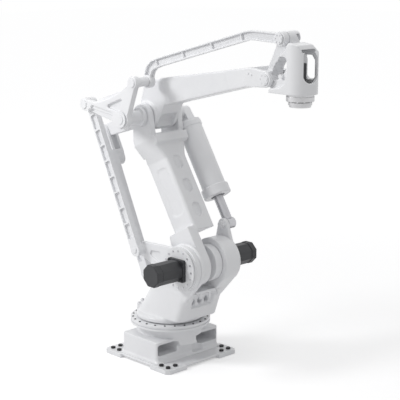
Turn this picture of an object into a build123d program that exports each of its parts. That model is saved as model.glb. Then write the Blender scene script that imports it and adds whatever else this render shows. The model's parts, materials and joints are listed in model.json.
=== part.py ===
# Four-axis palletising robot with a levelling linkage, in millimetres.
# Origin: centre of the foot plate's underside. +X is forward, +Z is up,
# and -Y is the near side, which carries the levelling rod.
from build123d import *
from math import atan2, cos, degrees, hypot, radians, sin
import os

os.makedirs("parts", exist_ok=True)

# Foot and pedestal
plate_margin = 180
plate_thick = 35
plate_inset = 22
pad_length = 215
anchor_hole = 14
anchor_pitch = 80
pedestal_length = 440
pedestal_width = 696
pedestal_top = 215
pedestal_skirt = 30
pocket_width = 205
pocket_height = 92
pocket_floor = 62
pocket_edge = 128
neck_radius = 262

# Slewing bearing
slew_radius = 335
turntable_radius = 284
slew_bottom = 290
slew_split = 236
slew_ring_height = 44
slew_bolt_count = 24
turntable_bottom = 342
running_gap = 0.06
face_gap = 2

# Turret and its drives
shoulder_reach = 413
shoulder_height = 868
slot_near = 176
slot_far = 62
cheek_face = 214
far_flange = 17
cheek_radius = 196
drum_radius = 186
ear_thick = 44
ring_thick = 36
ring_bolt_count = 16
motor_flats = 172
motor_length = 254
motor_flange = 180
motor_flange_thick = 30
turret_drop = 228
turret_lean = 100
shelf_reach = 475
slew_motor_side = 150
slew_motor_place = (-130, 176)

# Lower arm
lower_arm_length = 1280
lower_arm_lean = 25.8
arm_depth = 260
arm_width = 220
arm_setback = 84
arm_hub_radius = 165
arm_hub_thick = 92
fork_half = 180
fork_slot = 128
fork_radius = 104
pocket_long = 118
pocket_short = 78
pocket_deep = 26

# Upper arm
upper_arm_length = 1376
upper_arm_rise = 17.3
elbow_hub_radius = 118
elbow_gap = 4
upper_arm_half = 108
tail_length = 680
tail_half = 28
tail_radius = 56
wrist_fork_half = 132
wrist_fork_slot = 92
wrist_fork_radius = 62
wrist_mouth = 114

# Triangle plate, levelling rods and push rod
rear_lever_length = 477
rear_lever_angle = 170.7
top_lever_length = 333
top_lever_angle = 65.9
triangle_near = -395
triangle_thick = 50
triangle_sag = 62
triangle_hub_radius = 82
rod_gap = 6
rod_thick = 50
link_rear_plane = -213
link_front_plane = -95
link_thick = 52
eye_radius = 52
rod_depth = 92
rib_thick = 12
web_thick = 12
clevis_thick = 26
crank_thick = 52
crank_radius = 150
crank_gap = 70
push_throat = 192

# Pins
elbow_pin_radius = 45
pin_radius = 24
wrist_pin_radius = 28
cap_thick = 8

# Wrist
wrist_half = 128
wrist_lug_half = 88
spine_half = 60
flange_reach = 240
wrist_floor = 95
cross_tube_radius = 18
cross_tube_place = (142, 30)
window_place = (104, 85)
window_tilt = 48
window_long = 102
window_short = 62
wrist_motor_side = 92
wrist_motor_shift = -34
steel_ring_radius = 104
steel_ring_height = 51
flange_radius = 88
flange_height = 40
flange_step = 80
flange_pcd = 125
flange_bolt_hole = 5
flange_bolt_count = 6
flange_bore = 40
flange_bore_depth = 12

# Balancer
balancer_plane = 290
balancer_foot_rise = 282
balancer_foot_back = 13
balancer_eye_half = 40
balancer_lug_thick = 33
barrel_radius = 102
barrel_start = 105
barrel_end = 770
barrel_mouth = 60
balancer_rod_radius = 41
balancer_eye_radius = 46
balancer_pin_radius = 22

# Fasteners
bolt_head = 11
bolt_head_thick = 8
small_bolt_head = 8
small_bolt_thick = 6

# Worked-out places in the side view, as (x, z)


def polar(length, angle):
    return (length * cos(radians(angle)), length * sin(radians(angle)))


def add(a, b):
    return (a[0] + b[0], a[1] + b[1])


def side_frame(origin, angle):
    """Side-view frame: x runs along the angle, and its normal points to the near side."""
    direction = (cos(radians(angle)), 0, sin(radians(angle)))
    return Plane(origin=(origin[0], 0, origin[1]), x_dir=direction, z_dir=(0, -1, 0))


plate_side = pedestal_length + 2 * plate_margin
turret_waist = shoulder_height - turret_drop
side = side_frame((0, 0), 0)
arm_angle = 90 + lower_arm_lean
shoulder = (shoulder_reach, shoulder_height)
elbow = add(shoulder, polar(lower_arm_length, arm_angle))
wrist = add(elbow, polar(upper_arm_length, upper_arm_rise))
rear_lever = polar(rear_lever_length, rear_lever_angle)
top_lever = polar(top_lever_length, top_lever_angle)
tail_lever = polar(tail_length, upper_arm_rise + 180)
rod_head = add(elbow, rear_lever)
rod_foot = add(shoulder, rear_lever)
link_tail = add(elbow, top_lever)
link_head = add(wrist, top_lever)
push_head = add(elbow, tail_lever)
push_foot = add(shoulder, tail_lever)
arm_frame = side_frame(shoulder, arm_angle)
upper_frame = side_frame(elbow, upper_arm_rise)
crank_frame = side_frame(shoulder, upper_arm_rise + 180)
wrist_frame = side_frame(wrist, 0)
balancer_foot = (shoulder_reach - balancer_foot_back, shoulder_height + balancer_foot_rise)
balancer_head = elbow
balancer_span = hypot(balancer_foot[0] - balancer_head[0], balancer_foot[1] - balancer_head[1])
balancer_angle = degrees(atan2(balancer_foot[1] - balancer_head[1], balancer_foot[0] - balancer_head[0]))
balancer_frame = side_frame(balancer_head, balancer_angle)

# Planes across the robot, from the near side to the far side
cheek_near = -cheek_face
ear_near = cheek_near - ear_thick
ring_near = ear_near - ring_thick
triangle_far = triangle_near + triangle_thick
rod_near = triangle_far + rod_gap
rod_far = rod_near + rod_thick
motor_far = cheek_face + far_flange
hub_near = -(slot_near - face_gap)
hub_far = hub_near + arm_hub_thick
crank_near = hub_far + crank_gap
crank_far = crank_near + crank_thick
push_foot_far = crank_near - 2 * face_gap
push_foot_near = push_foot_far - 56
turret_floor = turntable_bottom + 40
flange_axis = wrist[0] + flange_reach
wrist_bottom = wrist[1] - wrist_floor


# Building blocks


def slab(outline, near, far, frame=side):
    """A side-view outline made solid from the near plane to the far plane."""
    return extrude(frame.offset(-far) * outline, amount=far - near)


def round_bar(radius, near, far, at, frame=side):
    return slab(Pos(*at) * Circle(radius), near, far, frame)


def polygon(points, radius=0):
    face = make_face(Polyline(*points, close=True))
    return fillet(face.vertices(), radius) if radius else face


def tangent_bar(a, b, radius_a, radius_b):
    """Outline of two round ends joined by straight flanks."""
    return make_hull((Pos(*a) * Circle(radius_a)).edges() + (Pos(*b) * Circle(radius_b)).edges())


def hexagon_bolt(radius, thick, place):
    return place * extrude(RegularPolygon(radius, 6), amount=thick)


def bolt_circle(radius, count, start=0.0):
    return [polar(radius, start + 360 * i / count) for i in range(count)]


def side_bolts(centre, radius, count, seat, toward, size=bolt_head, thick=bolt_head_thick, start=0.0):
    """Bolt heads in a circle on a face across Y; toward is -1 for the near side."""
    plane = Plane(origin=(centre[0], seat, centre[1]), x_dir=(1, 0, 0), z_dir=(0, toward, 0))
    spots = bolt_circle(radius, count, start)
    return [hexagon_bolt(size, thick, plane * Pos(x, -toward * y)) for x, y in spots]


def top_bolts(spots, seat, size=bolt_head, thick=bolt_head_thick):
    return [hexagon_bolt(size, thick, Pos(x, y, seat)) for x, y in spots]


def rib_pockets(length, depth_a, depth_b, ribs, edge, radius):
    """Pocket outlines between cross ribs along a tapering bar that starts at the origin."""
    outlines = []
    for start, end in zip(ribs[:-1], ribs[1:]):
        a, b = start + rib_thick / 2, end - rib_thick / 2
        high_a = (depth_a + (depth_b - depth_a) * a / length) / 2 - edge
        high_b = (depth_a + (depth_b - depth_a) * b / length) / 2 - edge
        outlines.append(polygon([(a, -high_a), (b, -high_b), (b, high_b), (a, high_a)], radius))
    return outlines


def ribbed_rod(length, near, far, frame, depth_a, depth_b, rib_count, eye):
    """H-section rod: a solid bar with pockets on both faces, a web between them and cross ribs."""
    bar = polygon([(0, -depth_a / 2), (length, -depth_b / 2), (length, depth_b / 2), (0, depth_a / 2)])
    rod = slab(bar, near, far, frame)
    first, last = eye + rib_thick, length - eye - rib_thick
    ribs = [first + (last - first) * i / rib_count for i in range(rib_count + 1)]
    cut = ((far - near) - web_thick) / 2
    for pocket in rib_pockets(length, depth_a, depth_b, ribs, rib_thick, 10):
        rod -= slab(pocket, near, near + cut, frame)
        rod -= slab(pocket, far - cut, far, frame)
    return rod


# Foot and pedestal


def base_plate():
    reach = plate_side / 2
    outline = chamfer(Rectangle(plate_side, plate_side).vertices(), 30)
    plate = extrude(outline, amount=plate_thick)
    gap = plate_side - 2 * pad_length
    for turn in range(4):
        notch = Pos(reach, 0) * Rectangle(2 * plate_inset, gap)
        plate -= Rot(0, 0, 90 * turn) * extrude(notch, amount=plate_thick)
        relief = Pos(reach, 0, -1) * Box(160, gap, 13, align=(Align.CENTER, Align.CENTER, Align.MIN))
        plate -= Rot(0, 0, 90 * turn) * relief
    for x, y in anchor_spots():
        plate -= Pos(x, y, 0) * Cylinder(anchor_hole, 2 * plate_thick)
    return plate


def anchor_spots():
    corner = plate_side / 2 - 55
    spots = []
    for sx, sy in ((1, 1), (1, -1), (-1, 1), (-1, -1)):
        spots += [(sx * corner, sy * corner), (sx * (corner - anchor_pitch), sy * corner),
                  (sx * corner, sy * (corner - anchor_pitch))]
    return spots


def pedestal():
    low = Plane.XY.offset(plate_thick)
    skirt = loft([
        low * RectangleRounded(pedestal_length + 2 * pedestal_skirt, pedestal_width + 30, 40),
        low.offset(26) * RectangleRounded(pedestal_length, pedestal_width, 30),
    ], ruled=True)
    box = extrude(low.offset(26) * RectangleRounded(pedestal_length, pedestal_width, 30),
                  amount=pedestal_top - plate_thick - 26)
    neck = Pos(0, 0, pedestal_top) * Cylinder(neck_radius, slew_bottom - pedestal_top,
                                              align=(Align.CENTER, Align.CENTER, Align.MIN))
    foot = loft([
        Plane.XY.offset(pedestal_top - 70) * Circle(neck_radius + 24),
        Plane.XY.offset(pedestal_top + 30) * Circle(neck_radius),
    ], ruled=True)
    body = skirt + box + neck + foot
    floor = plate_thick + pocket_floor
    for sign in (-1, 1):
        pocket = Pos(0, sign * (pocket_edge + pocket_width / 2), floor + pocket_height / 2)
        body -= pocket * Rot(0, 90, 0) * extrude(
            RectangleRounded(pocket_height, pocket_width, 14), amount=pedestal_length, both=True)
    hollow = Pos(pedestal_length / 2 + 24, 102, plate_thick + 14)
    body -= hollow * Cylinder(66, 150, align=(Align.CENTER, Align.CENTER, Align.MIN))
    core = Pos(0, 0, plate_thick) * Cylinder(90, slew_bottom, align=(Align.CENTER, Align.CENTER, Align.MIN))
    return body - core


def slew_outer_ring():
    ring = extrude(Plane.XY.offset(slew_bottom) * Circle(slew_radius), amount=slew_ring_height)
    groove = extrude(Plane.XY.offset(slew_bottom + 16) * (Circle(slew_radius) - Circle(slew_radius - 8)),
                     amount=10)
    bore = extrude(Plane.XY.offset(slew_bottom) * Circle(slew_split + running_gap), amount=slew_ring_height)
    return ring - groove - bore


def slew_outer_bolts():
    spots = bolt_circle(slew_radius - 20, slew_bolt_count, 9)
    return top_bolts(spots, slew_bottom + slew_ring_height, small_bolt_head, 5)


def anchor_bolts():
    return top_bolts(anchor_spots(), plate_thick, 20, 14)


def socket_box():
    """Cable connection box on the back of the pedestal."""
    depth, width, height = 80, 210, 68
    back = -pedestal_length / 2
    middle = plate_thick + 32 + height / 2
    box = Pos(back - depth / 2, 0, middle) * Box(depth, width, height)
    box = fillet(box.edges().filter_by(Axis.X), 14)
    lid = Pos(back - depth - 4, 0, middle) * Box(8, width - 30, height - 22)
    return box + lid


# Turret


def slew_inner_ring():
    start = slew_bottom + face_gap
    ring = extrude(Plane.XY.offset(start) * Circle(slew_split), amount=turntable_bottom - start)
    return ring - extrude(Plane.XY.offset(start) * Circle(slew_split - 60), amount=turntable_bottom)


def turret_section(height, front, half, front_radius, rear, rear_radius):
    """Plan outline of the turret block with small front corners and wide rear corners."""
    circles = []
    for sign in (-1, 1):
        circles += (Pos(front - front_radius, sign * (half - front_radius)) * Circle(front_radius)).edges()
        circles += (Pos(rear + rear_radius, sign * (half - rear_radius)) * Circle(rear_radius)).edges()
    return Plane.XY.offset(height) * make_hull(circles)


def cheek_outline():
    front, rear = shoulder_reach + 32, shoulder_reach - 473
    root = polygon([(rear + 60, turret_waist - 70), (front - 40, turret_waist - 70), (front, turret_waist),
                    (rear + 40, turret_waist)])
    return make_hull((Pos(*shoulder) * Circle(cheek_radius)).edges() + root.edges())


def turret_casting():
    table = extrude(Plane.XY.offset(turntable_bottom) * Circle(turntable_radius),
                    amount=turret_floor - turntable_bottom)
    front, rear = shoulder_reach + 32, shoulder_reach - 473
    block = loft([
        turret_section(turret_floor, front - turret_lean, 226, 70, rear - 202, 190),
        turret_section(turret_waist, front, cheek_face + 2, 66, rear, 120),
    ], ruled=True)
    body = table + block
    for near, far in ((-cheek_face, -slot_near), (slot_far, cheek_face)):
        body += slab(cheek_outline(), near, far)
    drop = turret_waist + 24
    swing = polygon([(front + 300, drop + 20), (shoulder_reach - 60, drop - 10), (170, 590),
                     (-40, turret_floor + 66), (-700, turret_floor + 66), (-700, 1400), (front + 300, 1400)])
    body -= slab(swing, -slot_near, slot_far)
    body -= round_bar(drum_radius - 50, -cheek_face, -slot_near, shoulder)
    body -= round_bar(drum_radius - 50, slot_far, cheek_face, shoulder)
    well = Pos(*slew_motor_place, turret_floor) * Box(
        slew_motor_side + 16, slew_motor_side + 16, 500, align=(Align.CENTER, Align.CENTER, Align.MIN))
    body -= well
    for angle in (222, 200):
        body += lifting_lug(angle)
    return body - front_recess() - cheek_groove()


def front_recess():
    """Shallow recess with three holes in the sloping front face of the turret."""
    height = turret_waist - 81
    tilt = atan2(turret_lean, turret_waist - turret_floor)
    x = shoulder_reach + 32 - (turret_waist - height) * turret_lean / (turret_waist - turret_floor)
    face = Plane(origin=(x, -8, height), x_dir=(0, 1, 0), z_dir=(cos(tilt), 0, -sin(tilt)))
    recess = extrude(face.offset(-26) * RectangleRounded(245, 115, 20), amount=80)
    for y in (-80, 0, 80):
        recess += extrude(face.offset(-60) * Pos(y, 0) * Circle(15), amount=60)
    return recess


def cheek_groove():
    """Narrow groove round the top of the thick far cheek."""
    ring = Pos(*shoulder) * (Circle(cheek_radius + 20) - Circle(cheek_radius - 7))
    sector = Pos(*shoulder) * polygon([(0, 0), (320, -30), (320, 320), (-200, 320), (-200, 205)])
    middle = (slot_far + cheek_face) / 2 - 20
    return slab(ring & sector, middle - 3, middle + 3)


def ear_plate():
    """Near plate that anchors the levelling rod, with the bolted round flange of the drive."""
    hub = (Pos(*shoulder) * Circle(drum_radius)).edges()
    eye = (Pos(*rod_foot) * Circle(eye_radius + 6)).edges()
    arm = make_hull(eye + (Pos(*shoulder) * Circle(drum_radius - 30)).edges())
    outline = arm + make_hull(hub)
    plate = slab(outline, ear_near, cheek_near)
    bore = round_bar(drum_radius - 60, ear_near, cheek_near, shoulder)
    window = tangent_bar(add(rod_foot, polar(120, rear_lever_angle + 180)),
                         add(rod_foot, polar(200, rear_lever_angle + 180)), 26, 44)
    plate -= slab(window, ear_near, ear_near + 18)
    pin = round_bar(pin_radius, rod_near - cap_thick, ear_near, rod_foot)
    boss = round_bar(eye_radius - 6, rod_far + face_gap / 2, ear_near, rod_foot)
    return plate - bore + boss + pin


def drive_ring(near, far):
    """Stepped drive flange bolted to a cheek."""
    ring = round_bar(drum_radius - 8, near, far, shoulder)
    groove = round_bar(drum_radius, near + 12, near + 20, shoulder)
    groove -= round_bar(drum_radius - 20, near + 12, near + 20, shoulder)
    return ring - groove - round_bar(82, near, far, shoulder)


def far_drum():
    """Flange on the far cheek, with the lug that carries the balancer's foot pin."""
    drum = round_bar(drum_radius, cheek_face, motor_far, shoulder)
    drum -= round_bar(82, cheek_face, motor_far, shoulder)
    lug = tangent_bar(add(shoulder, polar(120, 92)), balancer_foot, 96, balancer_eye_radius + 4)
    lug -= Pos(*shoulder) * Circle(motor_flange / 2 * 1.414 + 8)
    drum += slab(lug, cheek_face, cheek_face + balancer_lug_thick)
    return drum - round_bar(balancer_pin_radius, cheek_face, cheek_face + balancer_lug_thick, balancer_foot)


def balancer_foot_pin():
    """Pin through the lug, with a nut on the near side and an end cap on the far side."""
    end = balancer_plane + balancer_eye_half + 2
    pin = round_bar(balancer_pin_radius, cheek_face - 30, end + cap_thick, balancer_foot)
    pin += slab(Pos(*balancer_foot) * RegularPolygon(34, 6), cheek_face - 22, cheek_face)
    return pin + round_bar(balancer_pin_radius + 14, end, end + cap_thick, balancer_foot)


def reducer(near, far, collar_near, collar_far):
    """Gear reducer inside a cheek, with the collar that runs out to its motor."""
    return round_bar(drum_radius - 50, near, far, shoulder) + round_bar(80, collar_near, collar_far, shoulder)


def drive_motor(outer, toward):
    """Servo motor: octagonal body, square flange and a stepped end cover."""
    turned = Pos(*shoulder)
    flange = slab(turned * fillet(Rectangle(motor_flange, motor_flange).vertices(), 14), outer,
                  outer + motor_flange_thick)
    octagon = chamfer(Rectangle(motor_flats, motor_flats).vertices(), motor_flats * 0.29)
    start = outer + motor_flange_thick
    body = slab(turned * octagon, start, start + motor_length)
    cover = slab(turned * Circle(motor_flats / 2 - 26), start + motor_length, start + motor_length + 8)
    motor = flange + body + cover
    return motor if toward > 0 else mirror(motor, Plane.XZ)


def motor_bolts(outer, toward):
    reach = motor_flange / 2 * 1.414 - 24
    return side_bolts(shoulder, reach, 4, toward * (outer + motor_flange_thick), toward, start=45)


def turret_shelf():
    """Front shelf plate with three downward hooks."""
    front = shelf_reach
    length, width, thick = 125, 285, 18
    shelf = Pos(front - length / 2, 0, turret_waist + thick / 2) * Box(length, width, thick)
    shelf = fillet(shelf.edges().filter_by(Axis.Z), 12)
    for y in (-96, 0, 96):
        hook = polygon([(front - 24, turret_waist + 2), (front, turret_waist + 2), (front, turret_waist - 40),
                        (front - 20, turret_waist - 50), (front - 14, turret_waist - 24)])
        shelf += slab(hook, y - 10, y + 10)
    return shelf - slab(offset(cheek_outline(), 1), slot_far - 1, cheek_face)


def lifting_lug(angle):
    x, y = polar(turntable_radius - 15, angle)
    lug = Pos(x, y, turret_floor) * Rot(0, 0, angle) * extrude(
        Plane.YZ * (make_hull((Pos(0, 40) * Circle(26)).edges() + Rectangle(76, 2).edges())
                    - Pos(0, 40) * Circle(12)), amount=13, both=True)
    return lug


def slew_motor():
    """Upright slewing motor behind the far cheek."""
    side_length = slew_motor_side
    place = Pos(*slew_motor_place, turret_floor)
    body = place * extrude(chamfer(Rectangle(side_length - 6, side_length - 6).vertices(), 40), amount=210)
    foot = place * extrude(fillet(Rectangle(side_length, side_length).vertices(), 10), amount=22)
    cap = place * Pos(0, 0, 210) * extrude(Circle(side_length / 2 - 20), amount=10)
    return body + foot + cap


# Lower arm


def arm_section(along, back, depth, width, radius):
    frame = arm_frame
    plane = Plane(origin=frame.from_local_coords((along, back, 0)), x_dir=frame.y_dir, z_dir=frame.x_dir)
    return plane * RectangleRounded(depth, width, radius)


def lower_arm():
    shaft_start, shaft_end, fork_start = 260, lower_arm_length - 380, lower_arm_length - 195
    tilt = arm_setback / (fork_start - shaft_start)
    shaft = loft([
        arm_section(shaft_start, -6, arm_depth, arm_width, 26),
        arm_section(shaft_end, tilt * (shaft_end - shaft_start), arm_depth, arm_width, 26),
    ], ruled=True)
    flare = loft([
        arm_section(shaft_end, tilt * (shaft_end - shaft_start), arm_depth, arm_width, 26),
        arm_section(fork_start, arm_setback - 4, arm_depth, 2 * fork_half, 26),
        arm_section(fork_start + 50, arm_setback - 16, arm_depth - 10, 2 * fork_half, 26),
    ], ruled=True)
    cheek = make_hull(
        (Pos(lower_arm_length, 0) * Circle(fork_radius)).edges()
        + polygon([(fork_start, arm_setback - 4 - arm_depth / 2 + 26), (fork_start + 40, -60),
                   (fork_start + 40, 190), (fork_start, arm_setback + arm_depth / 2 - 30)]).edges())
    body = shaft + flare
    for near, far in ((-fork_half, -fork_slot), (fork_slot, fork_half)):
        body += slab(cheek, near, far, arm_frame)
    crotch, heel, tip = lower_arm_length - 162, lower_arm_length - 276, lower_arm_length + 320
    slot = polygon([(crotch, -400), (crotch, 40), (heel, 112), (heel - 144, 250), (heel - 144, 400),
                    (tip, 400), (tip, -400)])
    body -= slab(slot, -fork_slot, fork_slot, arm_frame)
    hub = make_hull(Circle(arm_hub_radius).edges()
                    + polygon([(shaft_start + 44, -124), (shaft_start + 30, 120), (shaft_start, 0)]).edges())
    body += slab(hub, hub_near, hub_far, arm_frame)
    notch = polygon([(shaft_start - 60, -30), (shaft_start + 115, 145), (shaft_start + 115, 200),
                     (shaft_start - 60, 200)])
    body -= slab(notch, crank_near - 8, slot_far + 6, arm_frame)
    bore = round_bar(elbow_pin_radius, -fork_half, fork_half, (lower_arm_length, 0), arm_frame)
    body -= bore
    body -= round_bar(70, hub_near, hub_near + 30, (0, 0), arm_frame)
    return body + arm_ledge() - front_pockets() - near_pocket()


def front_pockets():
    """Three oval pockets down the front face."""
    pockets = []
    for along in (430, 640, 850):
        front = -136 + (along - 260) * arm_setback / 825
        plane = Plane(origin=arm_frame.from_local_coords((along, front - 10, 0)),
                      x_dir=arm_frame.x_dir, z_dir=arm_frame.y_dir)
        oval = SlotOverall(pocket_long, pocket_short)
        pockets.append(extrude(plane * oval, amount=pocket_deep + 10))
    return pockets


def near_pocket():
    """Long shallow panels on both sides of the shaft."""
    outline = polygon([(420, -70), (420, 62), (830, 106), (830, -24)], 34)
    return [slab(outline, -arm_width / 2 - 1, -arm_width / 2 + 7, arm_frame),
            slab(outline, arm_width / 2 - 7, arm_width / 2 + 1, arm_frame)]


def arm_ledge():
    """Stepped bracket across the front of the fork."""
    front = arm_setback - 4 - arm_depth / 2
    start = lower_arm_length - 270
    ledge = polygon([(start, front - 2), (start + 24, front - 42), (start + 90, front - 42),
                     (start + 90, front + 10), (start + 10, front + 12)])
    bracket = slab(ledge, -fork_half + 6, fork_half - 6, arm_frame)
    return bracket


def elbow_pin():
    """Elbow shaft, which runs out to carry the triangle plate's hub."""
    pin = round_bar(elbow_pin_radius, triangle_near - 4, fork_half + 14, elbow)
    return pin


def elbow_far_cover():
    """Spacer between the fork and the balancer's head."""
    far = balancer_plane - balancer_eye_half - face_gap
    cover = round_bar(elbow_pin_radius + 17, fork_half, far, elbow)
    cover -= round_bar(elbow_pin_radius, fork_half, fork_half + 14, elbow)
    return cover - round_bar(balancer_pin_radius, fork_half + 14, far, elbow)


def balancer_head_pin():
    far = balancer_plane + balancer_eye_half + face_gap
    pin = round_bar(balancer_pin_radius, fork_half + 14, far + cap_thick, balancer_head)
    return pin + round_bar(balancer_pin_radius + 18, far, far + cap_thick, balancer_head)


def arm_hub_bolts():
    return side_bolts(shoulder, 128, 12, hub_far, 1, small_bolt_head, 3)


# Upper arm


def upper_section(along, perp, depth, width, radius):
    frame = upper_frame
    plane = Plane(origin=frame.from_local_coords((along, perp, 0)), x_dir=frame.y_dir, z_dir=frame.x_dir)
    return plane * RectangleRounded(depth, width, radius)


def upper_arm():
    width = 2 * upper_arm_half
    fork_root, fork_mouth = upper_arm_length - 196, upper_arm_length - wrist_mouth
    beam = loft([
        upper_section(130, 162, 232, width, 10),
        upper_section(420, 134, 206, width - 8, 10),
        upper_section(0.7 * upper_arm_length, 80, 158, width - 30, 10),
        upper_section(fork_root, 58, 144, 2 * wrist_fork_half - 14, 10),
        upper_section(fork_mouth, 50, 132, 2 * wrist_fork_half, 10),
    ], ruled=True)
    hump = make_hull((Pos(0, 0) * Circle(elbow_hub_radius)).edges() + (Pos(96, 196) * Circle(82)).edges()
                     + (Pos(200, 150) * Circle(96)).edges())
    hub = slab(hump, -upper_arm_half, upper_arm_half, upper_frame)
    tail_root = make_hull((Pos(0, 10) * Circle(elbow_hub_radius - 14)).edges()
                          + (Pos(-330, 4) * Circle(66)).edges())
    tail_end = tangent_bar((-300, 4), (-tail_length, 0), 64, tail_radius)
    tail = slab(tail_root, -78, 78, upper_frame) + slab(tail_end, -tail_half, tail_half, upper_frame)
    hub_rim = round_bar(elbow_hub_radius, -fork_slot + elbow_gap, fork_slot - elbow_gap, (0, 0), upper_frame)
    fork = make_hull((Pos(upper_arm_length, 0) * Circle(wrist_fork_radius)).edges()
                     + polygon([(fork_root, -12), (fork_root, 122), (fork_mouth - 12, 118),
                                (fork_mouth + 68, 70)]).edges())
    body = beam + hub + hub_rim + tail
    body += slab(fork, -wrist_fork_half, -wrist_fork_slot, upper_frame)
    body += slab(fork, wrist_fork_slot, wrist_fork_half, upper_frame)
    tip = upper_arm_length + 300
    mouth = polygon([(fork_mouth, -300), (fork_mouth, 300), (tip, 300), (tip, -300)])
    body -= slab(mouth, -wrist_fork_slot, wrist_fork_slot, upper_frame)
    bore = elbow_pin_radius + running_gap
    body -= round_bar(bore, -fork_half, fork_half, (0, 0), upper_frame)
    body -= round_bar(wrist_pin_radius, -wrist_fork_half, wrist_fork_half, (upper_arm_length, 0), upper_frame)
    body -= round_bar(pin_radius, -tail_half, tail_half, (-tail_length, 0), upper_frame)
    for sign in (-1, 1):
        waist = tangent_bar((-120, 4), (-300, 4), 40, 30)
        near, far = (-79, -50) if sign < 0 else (50, 79)
        body -= slab(waist, near, far, upper_frame)
    return body


def tail_pin():
    near, far = -tail_half - clevis_thick - 12, tail_half + clevis_thick + 12
    return round_bar(pin_radius, near, far, push_head)


def wrist_pin():
    near, far = -wrist_fork_half - cap_thick, wrist_fork_half + cap_thick
    pin = round_bar(wrist_pin_radius, near, far, wrist)
    pin += round_bar(44, near, near + cap_thick, wrist)
    return pin + round_bar(44, far - cap_thick, far, wrist)


def fork_bolts():
    seats = [(-wrist_fork_half, -1), (wrist_fork_half, 1)]
    heads = []
    for seat, toward in seats:
        for along, perp in ((upper_arm_length - wrist_mouth - 32, 78), (upper_arm_length - wrist_mouth, 62)):
            point = upper_frame.from_local_coords((along, perp, 0))
            heads += side_bolts((point.X, point.Z), 0, 1, seat, toward, small_bolt_head, 5)
        heads += side_bolts(wrist, 32, 6, seat + toward * cap_thick, toward, 6, 4)
    return heads


# Triangle plate and the rods


def inset_corner(a, b, inset_b, c, inset_c):
    """Corner of the outline inside a-b and a-c, moved in from each line by its inset."""
    to_b, to_c = Vector(b[0] - a[0], b[1] - a[1]).normalized(), Vector(c[0] - a[0], c[1] - a[1]).normalized()
    span = abs(to_b.cross(to_c).Z)
    move = to_b * (inset_c / span) + to_c * (inset_b / span)
    return (a[0] + move.X, a[1] + move.Y)


def triangle_outline():
    centre, head, link = (0, 0), rear_lever, top_lever
    chord = Vector(link[0] - head[0], link[1] - head[1])
    inward = Vector(chord.Y, -chord.X).normalized()
    middle = Vector(*head) + chord * 0.5 + inward * triangle_sag
    rim = 20
    outer = [Vector(*head) - inward * rim, middle - inward * rim, Vector(*link) - inward * rim]
    filled = make_face([ThreePointArc(*outer), Line(outer[2], centre), Line(centre, outer[0])])
    filled += tangent_bar(centre, head, triangle_hub_radius - 18, eye_radius - 8)
    filled += tangent_bar(centre, link, triangle_hub_radius - 22, eye_radius - 10)
    filled += Circle(triangle_hub_radius) + Pos(*head) * Circle(eye_radius) + Pos(*link) * Circle(eye_radius)
    lower, front, back = 50, 46, triangle_sag + rim
    corners = [inset_corner(centre, head, lower, link, front), inset_corner(head, centre, lower, link, back),
               inset_corner(link, centre, front, head, back)]
    return filled - polygon(corners, 16)


def triangle_plate():
    frame = side_frame(elbow, 0)
    plate = slab(triangle_outline(), triangle_near, triangle_far, frame)
    slot = tangent_bar(polar(130, rear_lever_angle), polar(370, rear_lever_angle), 24, 18)
    plate -= slab(slot, triangle_near, triangle_near + 18, frame)
    plate += round_bar(triangle_hub_radius - 2, triangle_far, -fork_half - face_gap, (0, 0), frame)
    plate -= round_bar(elbow_pin_radius + running_gap, triangle_near, -fork_half, (0, 0), frame)
    for at in (rear_lever, top_lever):
        plate -= round_bar(pin_radius, triangle_near, triangle_far, at, frame)
    return plate


def triangle_pins():
    """Fixed pins for the levelling rod's head and the upper link's tail, with their end caps."""
    rod_pin = round_bar(pin_radius, triangle_near, rod_far + 4, rod_head)
    rod_cap = round_bar(36, triangle_near - cap_thick, triangle_near, rod_head)
    link_end = link_rear_plane + link_thick / 2 + 4
    link_pin = round_bar(pin_radius, triangle_near, link_end, link_tail)
    spacer = round_bar(38, triangle_far, link_rear_plane - link_thick / 2 - 3, link_tail)
    link_cap = round_bar(36, triangle_near - cap_thick, triangle_near, link_tail)
    return [rod_pin + rod_cap, link_pin + spacer + link_cap]


def elbow_near_cover():
    face = triangle_near - 4
    return round_bar(66, face - 10, face, elbow) + round_bar(40, face - 16, face - 10, elbow)


def level_rod():
    frame = side_frame(rod_foot, arm_angle)
    length = lower_arm_length
    rod = ribbed_rod(length, rod_near, rod_far, frame, rod_depth, rod_depth - 6, 8, eye_radius + 30)
    for along in (0, length):
        rod += round_bar(eye_radius, rod_near, rod_far, (along, 0), frame)
    for along in (0, length):
        rod -= round_bar(pin_radius + running_gap, rod_near, rod_far, (along, 0), frame)
    return rod


def push_rod():
    frame = side_frame(push_foot, arm_angle)
    length = lower_arm_length
    half = tail_half + face_gap + clevis_thick
    bar_far = push_foot_far
    bar_near = push_foot_near
    rod = ribbed_rod(length - 190, bar_near, bar_far, frame, rod_depth, rod_depth + 30, 7, eye_radius + 34)
    rod += round_bar(eye_radius + 4, bar_near, bar_far, (0, 0), frame)
    cheek = tangent_bar((length - 210, 0), (length, 0), 60, eye_radius)
    rod += slab(tangent_bar((length - 260, 0), (length - 150, 0), 56, 58), -half, half, frame)
    head = slab(cheek, -half, half, frame)
    start, end = length - push_throat, length + 100
    throat = polygon([(start, -100), (start, 100), (end, 100), (end, -100)])
    rod += head
    rod -= slab(throat, -tail_half - face_gap, tail_half + face_gap, frame)
    rod -= round_bar(pin_radius + running_gap, -half, half, (length, 0), frame)
    rod -= round_bar(pin_radius + running_gap, bar_near, bar_far, (0, 0), frame)
    return rod


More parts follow.
